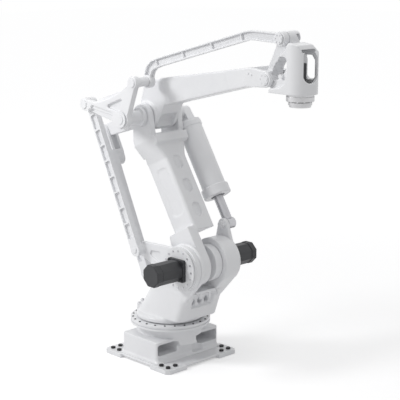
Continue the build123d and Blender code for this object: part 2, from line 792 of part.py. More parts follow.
def crank():
    """Drive crank beside the lower arm's hub; it moves the push rod."""
    outline = tangent_bar((0, 0), (tail_length, 0), crank_radius, eye_radius + 6)
    plate = slab(outline, crank_near, crank_far, crank_frame)
    pocket = tangent_bar((230, 0), (tail_length - 130, 0), 62, 28)
    plate -= slab(pocket, crank_far - 16, crank_far, crank_frame)
    plate += round_bar(crank_radius, crank_far, slot_far - face_gap, (0, 0), crank_frame)
    return plate - round_bar(pin_radius, crank_near, crank_far, (tail_length, 0), crank_frame)


def crank_pin():
    """Shouldered pin between the crank and the push rod."""
    return round_bar(pin_radius - running_gap, push_foot_near - 4, crank_far + 4, push_foot)


def upper_link():
    """Ribbed link over the upper arm, kinked at both ends and set over from the near side to the middle."""
    rise_a, rise_b = 118, 96
    spread = link_front_plane - link_rear_plane
    length = upper_arm_length
    skew = degrees(atan2(spread, length))
    stretch = hypot(spread, length) / length
    low = -link_thick / 2
    frame = side_frame((0, 0), 0)
    start, end = (0, 0), (length * stretch, 0)
    knee, crown = (78, rise_a), (1096, rise_b)
    outline = tangent_bar(start, knee, eye_radius - 8, 40)
    outline += tangent_bar(knee, crown, 40, 36)
    outline += tangent_bar(crown, end, 36, eye_radius - 12)
    bar = slab(outline, low, -low, frame)
    tilt = degrees(atan2(rise_b - rise_a, crown[0] - knee[0]))
    run = hypot(crown[0] - knee[0], rise_b - rise_a)
    ribs = [24 + (run - 48) * i / 5 for i in range(6)]
    cut = (link_thick - web_thick) / 2
    for pocket in rib_pockets(run, 80, 72, ribs, rib_thick, 10):
        placed = Pos(*knee) * Rot(0, 0, tilt) * pocket
        bar -= slab(placed, low, low + cut, frame)
        bar -= slab(placed, -low - cut, -low, frame)
    nose_tilt = degrees(atan2(end[1] - crown[1], end[0] - crown[0]))
    nose = hypot(end[0] - crown[0], end[1] - crown[1])
    for pocket in rib_pockets(nose, 72, 78, [36, nose - eye_radius - 16], rib_thick, 10):
        placed = Pos(*crown) * Rot(0, 0, nose_tilt) * pocket
        bar -= slab(placed, low, low + cut, frame)
        bar -= slab(placed, -low - cut, -low, frame)
    turned = Rot(0, 0, skew) * bar
    placed = Pos(link_tail[0], link_rear_plane, link_tail[1]) * Rot(0, -upper_arm_rise, 0) * turned
    for at, middle in ((link_tail, link_rear_plane), (link_head, link_front_plane)):
        placed += round_bar(eye_radius, middle - link_thick / 2, middle + link_thick / 2, at)
        placed -= round_bar(eye_radius + 40, middle + link_thick / 2, middle + link_thick, at)
        placed -= round_bar(eye_radius + 40, middle - link_thick, middle - link_thick / 2, at)
        placed -= round_bar(pin_radius + running_gap, middle - link_thick, middle + link_thick, at)
    return placed


# Wrist


def wrist_casting():
    front = flange_reach + wrist_half
    profile = polygon([(40, -wrist_floor), (front, -wrist_floor), (front, 155), (304, 263), (228, 279),
                       (190, 236), (120, 190), (84, 150), (84, 30), (70, -30), (40, -74)])
    block = slab(profile, -wrist_half, wrist_half, wrist_frame)
    plan = Pos(flange_axis, 0) * Circle(wrist_half)
    plan += Pos(flange_axis - 200, 0) * Rectangle(400, 2 * wrist_half)
    block &= extrude(Plane.XY.offset(wrist_bottom) * plan, amount=700)
    spine = make_hull(Circle(wrist_fork_radius - 4).edges() + (Pos(*top_lever) * Circle(eye_radius)).edges()
                      + (Pos(150, 60) * Circle(50)).edges())
    block += slab(spine, -spine_half, spine_half, wrist_frame)
    block += round_bar(wrist_fork_radius - 4, -wrist_lug_half, wrist_lug_half, (0, 0), wrist_frame)
    root = make_hull((Pos(60, -40) * Circle(40)).edges() + Circle(40).edges()
                     + (Pos(110, 40) * Circle(30)).edges())
    block += slab(root, -wrist_lug_half, wrist_lug_half, wrist_frame)
    block -= round_bar(cross_tube_radius, -wrist_half, wrist_half, add(wrist, cross_tube_place))
    oval = Pos(*window_place) * Rot(0, 0, window_tilt) * Ellipse(window_long, window_short)
    block -= slab(oval, -wrist_half - 2, wrist_half + 2, wrist_frame)
    block -= wrist_well()
    block -= extrude(Plane.XY.offset(wrist_bottom) * Pos(flange_axis, 0) * Circle(60), amount=60)
    block -= round_bar(wrist_pin_radius + running_gap, -200, 200, (0, 0), wrist_frame)
    return block - round_bar(pin_radius, -200, 200, top_lever, wrist_frame)


def wrist_well():
    """Hollow for the wrist motor, open to the front through a tall rounded opening."""
    low = wrist_bottom + 26
    top = wrist[1] + 232
    well = Pos(wrist[0] + 256, -14, (low + top) / 2) * Box(150, 150, top - low)
    opening = Pos(wrist[0] + 256, -14, (low + 58 + top) / 2) * Rot(0, 90, 0) * extrude(
        RectangleRounded(top - low - 58, 132, 60), amount=200)
    return well + opening


def wrist_tube():
    """Cross tube seen through the side windows."""
    return round_bar(cross_tube_radius, -wrist_half + 14, wrist_half - 14, add(wrist, cross_tube_place))


def link_pin():
    far = spine_half + cap_thick
    near = link_front_plane - link_thick / 2 - 4
    pin = round_bar(pin_radius, near - cap_thick, far, link_head)
    pin += round_bar(38, near - cap_thick, near, link_head)
    return pin + round_bar(38, spine_half, far, link_head)


def link_bolts():
    """Bolts on the end caps of the upper link's front pin."""
    near = link_front_plane - link_thick / 2 - 4 - cap_thick
    heads = side_bolts(link_head, 28, 6, near, -1, 5, 4)
    return heads + side_bolts(link_head, 28, 6, spine_half + cap_thick, 1, 5, 4)


def wrist_motor():
    place = Pos(flange_axis + 20, wrist_motor_shift, wrist_bottom + 26)
    square = Rectangle(wrist_motor_side, wrist_motor_side)
    body = place * extrude(chamfer(square.vertices(), 24), amount=200)
    return body + place * extrude(fillet(square.vertices(), 8), amount=16)


def wrist_reducer():
    """Steel ring under the wrist that carries the tool flange."""
    top = wrist_bottom
    ring = extrude(Plane.XY.offset(top - steel_ring_height) * Pos(flange_axis, 0) * Circle(steel_ring_radius),
                   amount=steel_ring_height)
    groove = extrude(Plane.XY.offset(top - 18) * Pos(flange_axis, 0)
                     * (Circle(steel_ring_radius) - Circle(steel_ring_radius - 8)), amount=8)
    ring -= groove
    bore = extrude(Plane.XY.offset(top - steel_ring_height) * Pos(flange_axis, 0) * Circle(50 + running_gap),
                   amount=steel_ring_height - 10)
    return ring - bore


def reducer_bolts():
    spots = [(flange_axis + x, y) for x, y in bolt_circle(steel_ring_radius - 8, 12)]
    return [hexagon_bolt(6, 4, Pos(x, y, wrist_bottom - steel_ring_height - 4)) for x, y in spots]


def tool_flange():
    top = wrist_bottom - steel_ring_height - 5
    place = Pos(flange_axis, 0)
    disc = extrude(Plane.XY.offset(top - flange_height) * place * Circle(flange_radius), amount=flange_height)
    disc = chamfer(disc.edges().group_by(Axis.Z)[-1], 3)
    rim = Circle(flange_radius + 1) - Circle(flange_step)
    step = extrude(Plane.XY.offset(top - flange_height) * place * rim, amount=16)
    disc -= step
    spigot = extrude(Plane.XY.offset(top) * place * Circle(50), amount=30)
    disc += spigot
    bottom = top - flange_height
    disc -= extrude(Plane.XY.offset(bottom) * place * Circle(flange_bore), amount=flange_bore_depth)
    for x, y in bolt_circle(flange_pcd / 2, flange_bolt_count):
        hole = Pos(flange_axis + x, y) * Circle(flange_bolt_hole)
        disc -= extrude(Plane.XY.offset(bottom) * hole, amount=22)
    return disc


# Balancer


def balancer_barrel():
    frame = balancer_frame
    plane = balancer_axis_plane()
    tube = extrude(plane.offset(barrel_start) * Circle(barrel_radius), amount=barrel_end - barrel_start)
    inner = extrude(plane.offset(barrel_start + 30) * Circle(barrel_mouth + 3),
                    amount=barrel_end - barrel_start - 30)
    near, far = balancer_plane - balancer_eye_half, balancer_plane + balancer_eye_half
    neck = slab(tangent_bar((0, 0), (barrel_start + 10, 0), balancer_eye_radius, 62), near, far, frame)
    neck -= round_bar(balancer_pin_radius + running_gap, near, far, (0, 0), frame)
    return neck + tube - inner


def balancer_top_cap():
    plane = balancer_axis_plane()
    outer = extrude(plane.offset(barrel_start + 8) * Circle(barrel_radius + 6), amount=52)
    outer = fillet(outer.edges().filter_by(GeomType.CIRCLE), 10)
    return outer - extrude(plane.offset(barrel_start) * Circle(barrel_radius), amount=80)


def balancer_mouth_cap():
    plane = balancer_axis_plane()
    outer = extrude(plane.offset(barrel_end - 70) * Circle(barrel_radius + 16), amount=84)
    outer = fillet(outer.edges().filter_by(GeomType.CIRCLE), 9)
    outer -= extrude(plane.offset(barrel_end - 80) * Circle(barrel_radius), amount=80)
    return outer - extrude(plane.offset(barrel_end - 10) * Circle(barrel_mouth), amount=60)


def balancer_axis_plane():
    frame = balancer_frame
    origin = frame.from_local_coords((0, 0, -balancer_plane))
    return Plane(origin=origin, x_dir=frame.y_dir, z_dir=frame.x_dir)


def balancer_rod():
    plane = balancer_axis_plane()
    start = barrel_start + 150
    rod = extrude(plane.offset(start) * Circle(balancer_rod_radius), amount=balancer_span - start - 30)
    piston = extrude(plane.offset(start - 20) * Circle(balancer_rod_radius + 8), amount=40)
    near, far = balancer_plane - balancer_eye_half, balancer_plane + balancer_eye_half
    body = rod + piston + round_bar(balancer_eye_radius, near, far, balancer_foot)
    return body - round_bar(balancer_pin_radius + running_gap, near, far, balancer_foot)


def group(solids):
    return Compound(children=list(solids))


nodes = {
    "base_plate": base_plate,
    "anchor_bolts": lambda: group(anchor_bolts()),
    "pedestal": pedestal,
    "base_socket_box": socket_box,
    "slew_bearing_outer": slew_outer_ring,
    "slew_bearing_bolts": lambda: group(slew_outer_bolts()),
    "slew_bearing_inner": slew_inner_ring,
    "turret_casting": turret_casting,
    "turret_shelf": turret_shelf,
    "slew_motor": slew_motor,
    "ear_plate": ear_plate,
    "near_drive_ring": lambda: drive_ring(ring_near, ear_near),
    "near_ring_bolts": lambda: group(side_bolts(shoulder, drum_radius - 34, ring_bolt_count, ring_near, -1,
                                                small_bolt_head, small_bolt_thick)),
    "near_reducer": lambda: reducer(cheek_near, -slot_near - 6, ring_near, cheek_near),
    "near_motor": lambda: drive_motor(-ring_near, -1),
    "near_motor_bolts": lambda: group(motor_bolts(-ring_near, -1)),
    "far_drum": far_drum,
    "far_reducer": lambda: reducer(slot_far + 6, cheek_face, cheek_face, motor_far),
    "far_motor": lambda: drive_motor(motor_far, 1),
    "far_motor_bolts": lambda: group(motor_bolts(motor_far, 1)),
    "balancer_foot_pin": balancer_foot_pin,
    "lower_arm": lower_arm,
    "arm_hub_bolts": lambda: group(arm_hub_bolts()),
    "elbow_pin": elbow_pin,
    "elbow_far_cover": elbow_far_cover,
    "elbow_near_cover": elbow_near_cover,
    "balancer_head_pin": balancer_head_pin,
    "crank": crank,
    "crank_pin": crank_pin,
    "push_rod": push_rod,
    "triangle_plate": triangle_plate,
    "triangle_pins": lambda: group(triangle_pins()),
    "level_rod": level_rod,
    "upper_link": upper_link,
    "upper_arm": upper_arm,
    "tail_pin": tail_pin,
    "wrist_pin": wrist_pin,
    "wrist_fork_bolts": lambda: group(fork_bolts()),
    "wrist_casting": wrist_casting,
    "wrist_cross_tube": wrist_tube,
    "wrist_link_pin": link_pin,
    "wrist_link_bolts": lambda: group(link_bolts()),
    "wrist_motor": wrist_motor,
    "wrist_reducer": wrist_reducer,
    "wrist_reducer_bolts": lambda: group(reducer_bolts()),
    "tool_flange": tool_flange,
    "balancer_barrel": balancer_barrel,
    "balancer_top_cap": balancer_top_cap,
    "balancer_mouth_cap": balancer_mouth_cap,
    "balancer_rod": balancer_rod,
}

for name, make in nodes.items():
    export_step(make(), f"parts/{name}.step")
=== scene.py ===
import json
import math

import bmesh
import bpy
from mathutils import Matrix, Vector


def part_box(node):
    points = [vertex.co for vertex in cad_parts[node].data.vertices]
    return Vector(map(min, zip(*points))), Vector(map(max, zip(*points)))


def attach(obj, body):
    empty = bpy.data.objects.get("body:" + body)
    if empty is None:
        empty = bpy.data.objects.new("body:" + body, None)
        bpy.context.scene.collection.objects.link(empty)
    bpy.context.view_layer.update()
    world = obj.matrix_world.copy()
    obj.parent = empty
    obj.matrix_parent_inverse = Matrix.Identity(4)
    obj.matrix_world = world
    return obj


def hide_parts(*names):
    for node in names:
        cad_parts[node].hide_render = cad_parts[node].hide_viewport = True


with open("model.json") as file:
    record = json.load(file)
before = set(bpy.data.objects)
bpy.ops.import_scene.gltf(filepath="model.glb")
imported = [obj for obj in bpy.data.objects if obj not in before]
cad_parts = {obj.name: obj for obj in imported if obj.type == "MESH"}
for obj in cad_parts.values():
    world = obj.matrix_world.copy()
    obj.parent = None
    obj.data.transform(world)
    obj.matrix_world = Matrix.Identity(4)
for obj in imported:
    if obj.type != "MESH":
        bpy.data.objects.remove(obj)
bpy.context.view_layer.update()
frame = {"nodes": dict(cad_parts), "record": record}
nodes = frame["nodes"]
print("frame loaded:", len(nodes), "nodes")

# camera fitted to the foot plate, the motors and the flange, in metres and degrees
shot = {
    "target": (0.36036, -0.00101, 1.38073),
    "distance": 9.70559,
    "azimuth": 46.09,
    "elevation": 12.31,
    "focalPixels": 1206.99,
    "framePixels": 400,
    "sensor": 36.0,
    "clipEnd": 60.0,
}

paint = {
    "colour": (0.83, 0.835, 0.85),
    "shade": (0.775, 0.78, 0.80),
    "roughness": 0.36,
    "grainScale": 90.0,
    "grainHeight": 0.00015,
}
motorFinish = {"colour": (0.022, 0.023, 0.026), "shade": (0.04, 0.041, 0.045), "roughness": 0.42}
steelFinish = {"colour": (0.64, 0.64, 0.65), "shade": (0.48, 0.48, 0.49), "roughness": 0.3}
boltFinish = {"colour": (0.60, 0.60, 0.62), "shade": (0.42, 0.42, 0.44), "roughness": 0.3}
blackFinish = {"colour": (0.02, 0.02, 0.022), "shade": (0.035, 0.035, 0.038), "roughness": 0.5}
white = (1.0, 1.0, 1.0, 1.0)
# shared by the finishes: drift of tone, rubbed edges, painted shade that darkens hollows, clear coat and
# bumps
surface = {
    "toneScale": 2.4,
    "toneRange": (0.35, 0.75),
    "glossDrift": 0.1,
    "edgeRange": (0.56, 0.72),
    "edgeGain": 1.12,
    # the next two values paint shade into concave places: where pointiness is low, the colour is darkened
    "paintedShadeRange": (0.44, 0.30),
    "paintedShadeGain": 0.72,
    "coatRoughness": 0.18,
    "bumpStrength": 0.35,
}
turned = {"toneScale": 6.0, "glossDrift": 0.12, "bumpStrength": 0.2, "bumpHeight": 0.0004, "metal": 0.9}


def makeCamera():
    azimuth, elevation = math.radians(shot["azimuth"]), math.radians(shot["elevation"])
    back = Vector((math.sin(azimuth) * math.cos(elevation), -math.cos(azimuth) * math.cos(elevation),
                   math.sin(elevation)))
    right = Vector((math.cos(azimuth), math.sin(azimuth), 0.0))
    up = back.cross(right)
    data = bpy.data.cameras.new("photoCamera")
    data.sensor_width = shot["sensor"]
    data.lens = shot["focalPixels"] / shot["framePixels"] * shot["sensor"]
    data.clip_end = shot["clipEnd"]
    camera = bpy.data.objects.new("photoCamera", data)
    place = Vector(shot["target"]) + back * shot["distance"]
    camera.matrix_world = Matrix((
        (right.x, up.x, back.x, place.x),
        (right.y, up.y, back.y, place.y),
        (right.z, up.z, back.z, place.z),
        (0.0, 0.0, 0.0, 1.0),
    ))
    bpy.context.scene.collection.objects.link(camera)
    bpy.context.scene.camera = camera


makeCamera()
print("camera placed")


def newGroup(name, inputs, outputs):  # shader node group with its sockets
    group = bpy.data.node_groups.new(name, "ShaderNodeTree")
    for label, kind, value in inputs:
        socket = group.interface.new_socket(name=label, in_out="INPUT", socket_type=kind)
        socket.default_value = value
    for label, kind in outputs:
        group.interface.new_socket(name=label, in_out="OUTPUT", socket_type=kind)
    start = group.nodes.new("NodeGroupInput")
    end = group.nodes.new("NodeGroupOutput")
    return group, start, end


def addNode(tree, kind, **values):
    node = tree.nodes.new(kind)
    for key, value in values.items():
        if key in node.inputs:
            node.inputs[key].default_value = value
        else:
            setattr(node, key, value)
    return node


def rangeNode(tree, fromMin, fromMax, toMin=0.0, toMax=1.0):
    node = tree.nodes.new("ShaderNodeMapRange")
    for label, value in (("From Min", fromMin), ("From Max", fromMax), ("To Min", toMin), ("To Max", toMax)):
        node.inputs[label].default_value = value
    return node


def buildToneGroup():  # slow drift of tone and gloss over a painted or machined surface
    group, start, end = newGroup(
        "surfaceTone",
        [("Light", "NodeSocketColor", (0.8, 0.8, 0.8, 1)), ("Dark", "NodeSocketColor", (0.7, 0.7, 0.7, 1)),
         ("Scale", "NodeSocketFloat", 3.0), ("Gloss", "NodeSocketFloat", 0.35),
         ("Gloss Drift", "NodeSocketFloat", 0.08)],
        [("Color", "NodeSocketColor"), ("Roughness", "NodeSocketFloat")])
    place = addNode(group, "ShaderNodeTexCoord")
    cloud = addNode(group, "ShaderNodeTexNoise", Detail=5.0, Roughness=0.6)
    mix = addNode(group, "ShaderNodeMix", data_type="RGBA")
    spread = rangeNode(group, *surface["toneRange"])
    gloss = addNode(group, "ShaderNodeMath", operation="MULTIPLY_ADD")
    links = group.links
    links.new(place.outputs["Object"], cloud.inputs["Vector"])
    links.new(start.outputs["Scale"], cloud.inputs["Scale"])
    links.new(cloud.outputs["Fac"], spread.inputs["Value"])
    links.new(spread.outputs["Result"], mix.inputs["Factor"])
    links.new(start.outputs["Light"], mix.inputs["A"])
    links.new(start.outputs["Dark"], mix.inputs["B"])
    links.new(cloud.outputs["Fac"], gloss.inputs[0])
    links.new(start.outputs["Gloss Drift"], gloss.inputs[1])
    links.new(start.outputs["Gloss"], gloss.inputs[2])
    links.new(mix.outputs["Result"], end.inputs["Color"])
    links.new(gloss.outputs["Value"], end.inputs["Roughness"])
    return group


def buildGrainGroup():  # fine orange peel of paint over a casting
    group, start, end = newGroup(
        "castGrain",
        [("Scale", "NodeSocketFloat", 90.0), ("Coarse Scale", "NodeSocketFloat", 9.0),
         ("Coarse Share", "NodeSocketFloat", 0.4)],
        [("Height", "NodeSocketFloat")])
    place = addNode(group, "ShaderNodeTexCoord")
    fine = addNode(group, "ShaderNodeTexNoise", Detail=3.0, Roughness=0.5)
    coarse = addNode(group, "ShaderNodeTexNoise", Detail=2.0, Roughness=0.5)
    total = addNode(group, "ShaderNodeMath", operation="MULTIPLY_ADD")
    links = group.links
    links.new(place.outputs["Object"], fine.inputs["Vector"])
    links.new(place.outputs["Object"], coarse.inputs["Vector"])
    links.new(start.outputs["Scale"], fine.inputs["Scale"])
    links.new(start.outputs["Coarse Scale"], coarse.inputs["Scale"])
    links.new(coarse.outputs["Fac"], total.inputs[0])
    links.new(start.outputs["Coarse Share"], total.inputs[1])
    links.new(fine.outputs["Fac"], total.inputs[2])
    links.new(total.outputs["Value"], end.inputs["Height"])
    return group


def buildRingGroup():  # turning marks round a vertical axis
    group, start, end = newGroup(
        "turnedMarks",
        [("Centre", "NodeSocketVector", (0.0, 0.0, 0.0)), ("Scale", "NodeSocketFloat", 220.0)],
        [("Height", "NodeSocketFloat")])
    place = addNode(group, "ShaderNodeTexCoord")
    shift = addNode(group, "ShaderNodeVectorMath", operation="SUBTRACT")
    wave = addNode(group, "ShaderNodeTexWave", wave_type="RINGS", rings_direction="Z", Distortion=0.4)
    links = group.links
    links.new(place.outputs["Object"], shift.inputs[0])
    links.new(start.outputs["Centre"], shift.inputs[1])
    links.new(shift.outputs["Vector"], wave.inputs["Vector"])
    links.new(start.outputs["Scale"], wave.inputs["Scale"])
    links.new(wave.outputs["Fac"], end.inputs["Height"])
    return group


def buildWearShadeGroup():  # lighter rubbed edges, and painted shade that darkens hollows, from the surface's own curvature
    group, start, end = newGroup(
        "edgeWearAndShade",
        [("Color", "NodeSocketColor", (0.8, 0.8, 0.8, 1)), ("Edge", "NodeSocketColor", (0.9, 0.9, 0.9, 1)),
         ("Hollow", "NodeSocketColor", (0.5, 0.5, 0.5, 1)), ("Amount", "NodeSocketFloat", 0.5)],
        [("Color", "NodeSocketColor")])
    shape = addNode(group, "ShaderNodeNewGeometry")
    high = rangeNode(group, *surface["edgeRange"])
    # low pointiness picks out hollows, which get a darker colour as painted shade
    low = rangeNode(group, *surface["paintedShadeRange"])
    lift = addNode(group, "ShaderNodeMath", operation="MULTIPLY")
    drop = addNode(group, "ShaderNodeMath", operation="MULTIPLY")
    first = addNode(group, "ShaderNodeMix", data_type="RGBA")
    second = addNode(group, "ShaderNodeMix", data_type="RGBA")
    links = group.links
    for step, mix, name in ((lift, first, "Edge"), (drop, second, "Hollow")):
        links.new(start.outputs["Amount"], step.inputs[1])
        links.new(step.outputs["Value"], mix.inputs["Factor"])
        links.new(start.outputs[name], mix.inputs["B"])
    links.new(shape.outputs["Pointiness"], high.inputs["Value"])
    links.new(shape.outputs["Pointiness"], low.inputs["Value"])
    links.new(high.outputs["Result"], lift.inputs[0])
    links.new(low.outputs["Result"], drop.inputs[0])
    links.new(start.outputs["Color"], first.inputs["A"])
    links.new(first.outputs["Result"], second.inputs["A"])
    links.new(second.outputs["Result"], end.inputs["Color"])
    return group


toneGroup = buildToneGroup()
grainGroup = buildGrainGroup()
ringGroup = buildRingGroup()
wearShadeGroup = buildWearShadeGroup()
print("shader groups built")


def placeGroup(tree, group, **values):
    node = tree.nodes.new("ShaderNodeGroup")
    node.node_tree = group
    for key, value in values.items():
        node.inputs[key.replace("_", " ")].default_value = value
    return node


def solidColour(rgb):
    return (rgb[0], rgb[1], rgb[2], 1.0)


def newMaterial(name):
    material = bpy.data.materials.new(name)
    material.use_nodes = True
    return material, material.node_tree, material.node_tree.nodes["Principled BSDF"]


def driftingTone(tree, shader, look, scale, drift):  # the caller links the tone's colour
    tone = placeGroup(tree, toneGroup, Light=solidColour(look["colour"]), Dark=solidColour(look["shade"]),
                      Scale=scale, Gloss=look["roughness"], Gloss_Drift=drift)
    tree.links.new(tone.outputs["Roughness"], shader.inputs["Roughness"])
    return tone.outputs["Color"]


def addBump(tree, shader, texture, strength, height):
    bump = tree.nodes.new("ShaderNodeBump")
    bump.inputs["Strength"].default_value = strength
    bump.inputs["Distance"].default_value = height
    tree.links.new(texture.outputs["Height"], bump.inputs["Height"])
    tree.links.new(bump.outputs["Normal"], shader.inputs["Normal"])


def finishMaterial(name, look, metal=0.0, coat=0.0, grain=0.0, grainScale=90.0, wearAndShade=0.35):
    material, tree, shader = newMaterial(name)
    tone = driftingTone(tree, shader, look, surface["toneScale"], surface["glossDrift"])
    edges = placeGroup(
        tree, wearShadeGroup, Amount=wearAndShade,
        Edge=solidColour([min(1.0, c * surface["edgeGain"]) for c in look["colour"]]),
        # hollows get a darker copy of the shade colour: painted shade; the amount scales both the worn edges
        # and this painted shade
        Hollow=solidColour([c * surface["paintedShadeGain"] for c in look["shade"]]))
    tree.links.new(tone, edges.inputs["Color"])
    tree.links.new(edges.outputs["Color"], shader.inputs["Base Color"])
    shader.inputs["Metallic"].default_value = metal
    shader.inputs["Coat Weight"].default_value = coat
    shader.inputs["Coat Roughness"].default_value = surface["coatRoughness"]
    if grain:
        addBump(tree, shader, placeGroup(tree, grainGroup, Scale=grainScale), surface["bumpStrength"], grain)
    return material


def turnedMaterial(name, look, centre):
    material, tree, shader = newMaterial(name)
    tone = driftingTone(tree, shader, look, turned["toneScale"], turned["glossDrift"])
    tree.links.new(tone, shader.inputs["Base Color"])
    shader.inputs["Metallic"].default_value = turned["metal"]
    addBump(tree, shader, placeGroup(tree, ringGroup, Centre=centre), turned["bumpStrength"],
            turned["bumpHeight"])
    return material


def nodeCentre(name):
    low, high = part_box(name)
    return (low + high) / 2


materials = {
    "paint": finishMaterial("whitePaint", paint, coat=0.25, grain=paint["grainHeight"],
                            grainScale=paint["grainScale"], wearAndShade=0.12),
    "motor": finishMaterial("motorBlack", motorFinish, grain=0.0004, grainScale=140.0, wearAndShade=0.6),
    "steel": turnedMaterial("turnedSteel", steelFinish, nodeCentre("tool_flange")),
    "ring": turnedMaterial("bearingSteel", steelFinish, nodeCentre("slew_bearing_outer")),
    "bolt": finishMaterial("zincBolt", boltFinish, metal=0.85, wearAndShade=0.5),
    "black": finishMaterial("blackBolt", blackFinish, metal=0.3, wearAndShade=0.5),
}
slotFinish = {
    "arm_paint": "paint",
    "base_paint": "paint",
    "ring_steel": "steel",
    "bright_steel": "bolt",
    "black_bolt": "black",
    "motor_black": "motor",
}
# pieces that look different from the rest of their slot, most of them steel that is painted over
finishByNode = {
    "slew_bearing_outer": "paint",
    "slew_bearing_inner": "ring",
    "near_reducer": "paint",
    "far_reducer": "paint",
    "elbow_pin": "paint",
    "triangle_pins": "paint",
    "wrist_pin": "paint",
    "wrist_link_pin": "paint",
    "tail_pin": "paint",
    "balancer_head_pin": "paint",
    "balancer_foot_pin": "paint",
    "anchor_bolts": "black",
    "wrist_fork_bolts": "paint",
}
nodeSlot = {part["node"]: part["material_slot"] for part in frame["record"]["subparts"]}
nodeBody = {name: body for body, members in frame["record"]["behaviour"]["bodies"].items()
            for name in members}


def nodeFinish(name):
    return materials[finishByNode.get(name, slotFinish[nodeSlot[name]])]


def dress(piece, material):
    piece.data.materials.clear()
    piece.data.materials.append(material)


for name, node in nodes.items():
    for slot in node.material_slots:
        slot.link = "OBJECT"
        slot.material = nodeFinish(name)
print("node finishes set")

elbow = (-0.144, 2.020)  # x and z
armRise = 17.3  # degrees that the upper arm points up at rest


# mesh helpers: outlines are given in metres in a flat frame and pushed through its thickness
def sideFrame(x, z, degrees=0.0):  # u along, v up, w along world Y
    turn = math.radians(degrees)
    c, s = math.cos(turn), math.sin(turn)
    return lambda u, v, w: (x + u * c - v * s, w, z + u * s + v * c)


def pushOutline(mesh, points, low, high, place):
    rings = [[mesh.verts.new(place(u, v, w)) for u, v in points] for w in (low, high)]
    count = len(points)
    faces = []
    for i in range(count):
        j = (i + 1) % count
        faces.append(mesh.faces.new((rings[0][i], rings[0][j], rings[1][j], rings[1][i])))
    faces.append(mesh.faces.new(rings[0][::-1]))
    faces.append(mesh.faces.new(rings[1]))
    return faces


def pushSleeve(mesh, outer, inner, low, high, place):
    rings = [[[mesh.verts.new(place(u, v, w)) for u, v in line] for w in (low, high)]
             for line in (outer, inner)]
    (outLow, outHigh), (inLow, inHigh) = rings
    count = len(outer)
    for i in range(count):
        j = (i + 1) % count
        mesh.faces.new((outLow[i], outLow[j], outHigh[j], outHigh[i]))
        mesh.faces.new((inLow[i], inHigh[i], inHigh[j], inLow[j]))
        mesh.faces.new((outLow[i], inLow[i], inLow[j], outLow[j]))
        mesh.faces.new((outHigh[i], outHigh[j], inHigh[j], inHigh[i]))


def roundOutline(u, v, radius, count):
    steps = [2 * math.pi * i / count for i in range(count)]
    return [(u + radius * math.cos(a), v + radius * math.sin(a)) for a in steps]


def barOutline(a, b, radiusA, radiusB, count=12):  # rounded bar from a to b
    turn = math.atan2(b[1] - a[1], b[0] - a[0])
    points = []
    for centre, radius, start in ((b, radiusB, turn - math.pi / 2), (a, radiusA, turn + math.pi / 2)):
        for i in range(count + 1):
            angle = start + math.pi * i / count
            points.append((centre[0] + radius * math.cos(angle), centre[1] + radius * math.sin(angle)))
    return points


def octagonOutline(flats, share=0.29):  # share of the flats that each cut corner takes
    half, cut = flats / 2, flats / 2 - flats * share
    return [(half, cut), (cut, half), (-cut, half), (-half, cut), (-half, -cut), (-cut, -half), (cut, -half),
            (half, -cut)]


def meshObject(name, mesh):
    bmesh.ops.recalc_face_normals(mesh, faces=mesh.faces)
    data = bpy.data.meshes.new(name)
    mesh.to_mesh(data)
    mesh.free()
    piece = bpy.data.objects.new(name, data)
    bpy.context.scene.collection.objects.link(piece)
    return piece


def bakeModifiers(piece):
    depsgraph = bpy.context.evaluated_depsgraph_get()
    data = bpy.data.meshes.new_from_object(piece.evaluated_get(depsgraph))
    name = piece.name
    bpy.data.objects.remove(piece)
    baked = bpy.data.objects.new(name, data)
    bpy.context.scene.collection.objects.link(baked)
    return baked


bevelSegments = 2
smoothFactor = 0.5


def softEdges(piece, width):
    bevel = piece.modifiers.new("edges", "BEVEL")
    bevel.width = width
    bevel.segments = bevelSegments
    bevel.limit_method = "ANGLE"
    return piece


def standIn(piece, name):
    dress(piece, nodeFinish(name))
    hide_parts(name)
    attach(piece, nodeBody[name])
    print("piece for", name, len(piece.data.polygons), "faces")


def softCast(piece, voxel, passes, keep):
    remesh = piece.modifiers.new("voxels", "REMESH")
    remesh.mode = "VOXEL"
    remesh.voxel_size = voxel
    remesh.use_smooth_shade = True
    soften = piece.modifiers.new("soften", "SMOOTH")
    soften.factor = smoothFactor
    soften.iterations = passes
    thin = piece.modifiers.new("thin", "DECIMATE")
    thin.ratio = keep
    cast = bakeModifiers(piece)
    for polygon in cast.data.polygons:
        polygon.use_smooth = True
    return cast


# triangle plate: shallow web behind the opening, grooves beside the rims, small hub with a bolted disc
trianglePlate = {
    "planes": (-0.395, -0.345),
    "web": (-0.372, -0.352),
    "webCorners": ((-0.030, 0.020), (-0.400, 0.085), (-0.200, 0.170), (0.110, 0.270)),
    "pocket": ((-0.140, -0.008), (-0.390, 0.026), 0.027, 0.021),  # two ends and their radii
    "pocketDepth": 0.030,
    "groove": ((-0.340, 0.118), (-0.060, 0.232), 0.013, 0.012),
    "grooveDepth": 0.026,
    "clear": 0.010,
    "sleeve": (0.084, 0.058),  # outer and inner radius of what is cut off the hub
    "sleeveSides": 48,
    "discPlanes": (-0.214, -0.182),
    "discSink": 0.010,
    "discRadius": 0.080,
    "discSides": 40,
    "bolts": 8,
    "boltCircle": 0.0656,
    "boltRadius": 0.0105,
    "boltLength": 0.014,
    "boltSides": 8,
}


def triangleCutters():
    near, far = trianglePlate["planes"]
    place = sideFrame(*elbow)
    outer, inner = (roundOutline(0, 0, radius, trianglePlate["sleeveSides"])
                    for radius in trianglePlate["sleeve"])
    walls = []
    for name in ("pocket", "groove"):
        outline = barOutline(*trianglePlate[name])
        walls.append((outline, near - trianglePlate["clear"], near + trianglePlate[name + "Depth"], place))
    walls.append((outer, far, trianglePlate["discPlanes"][0], place, inner))
    return walls


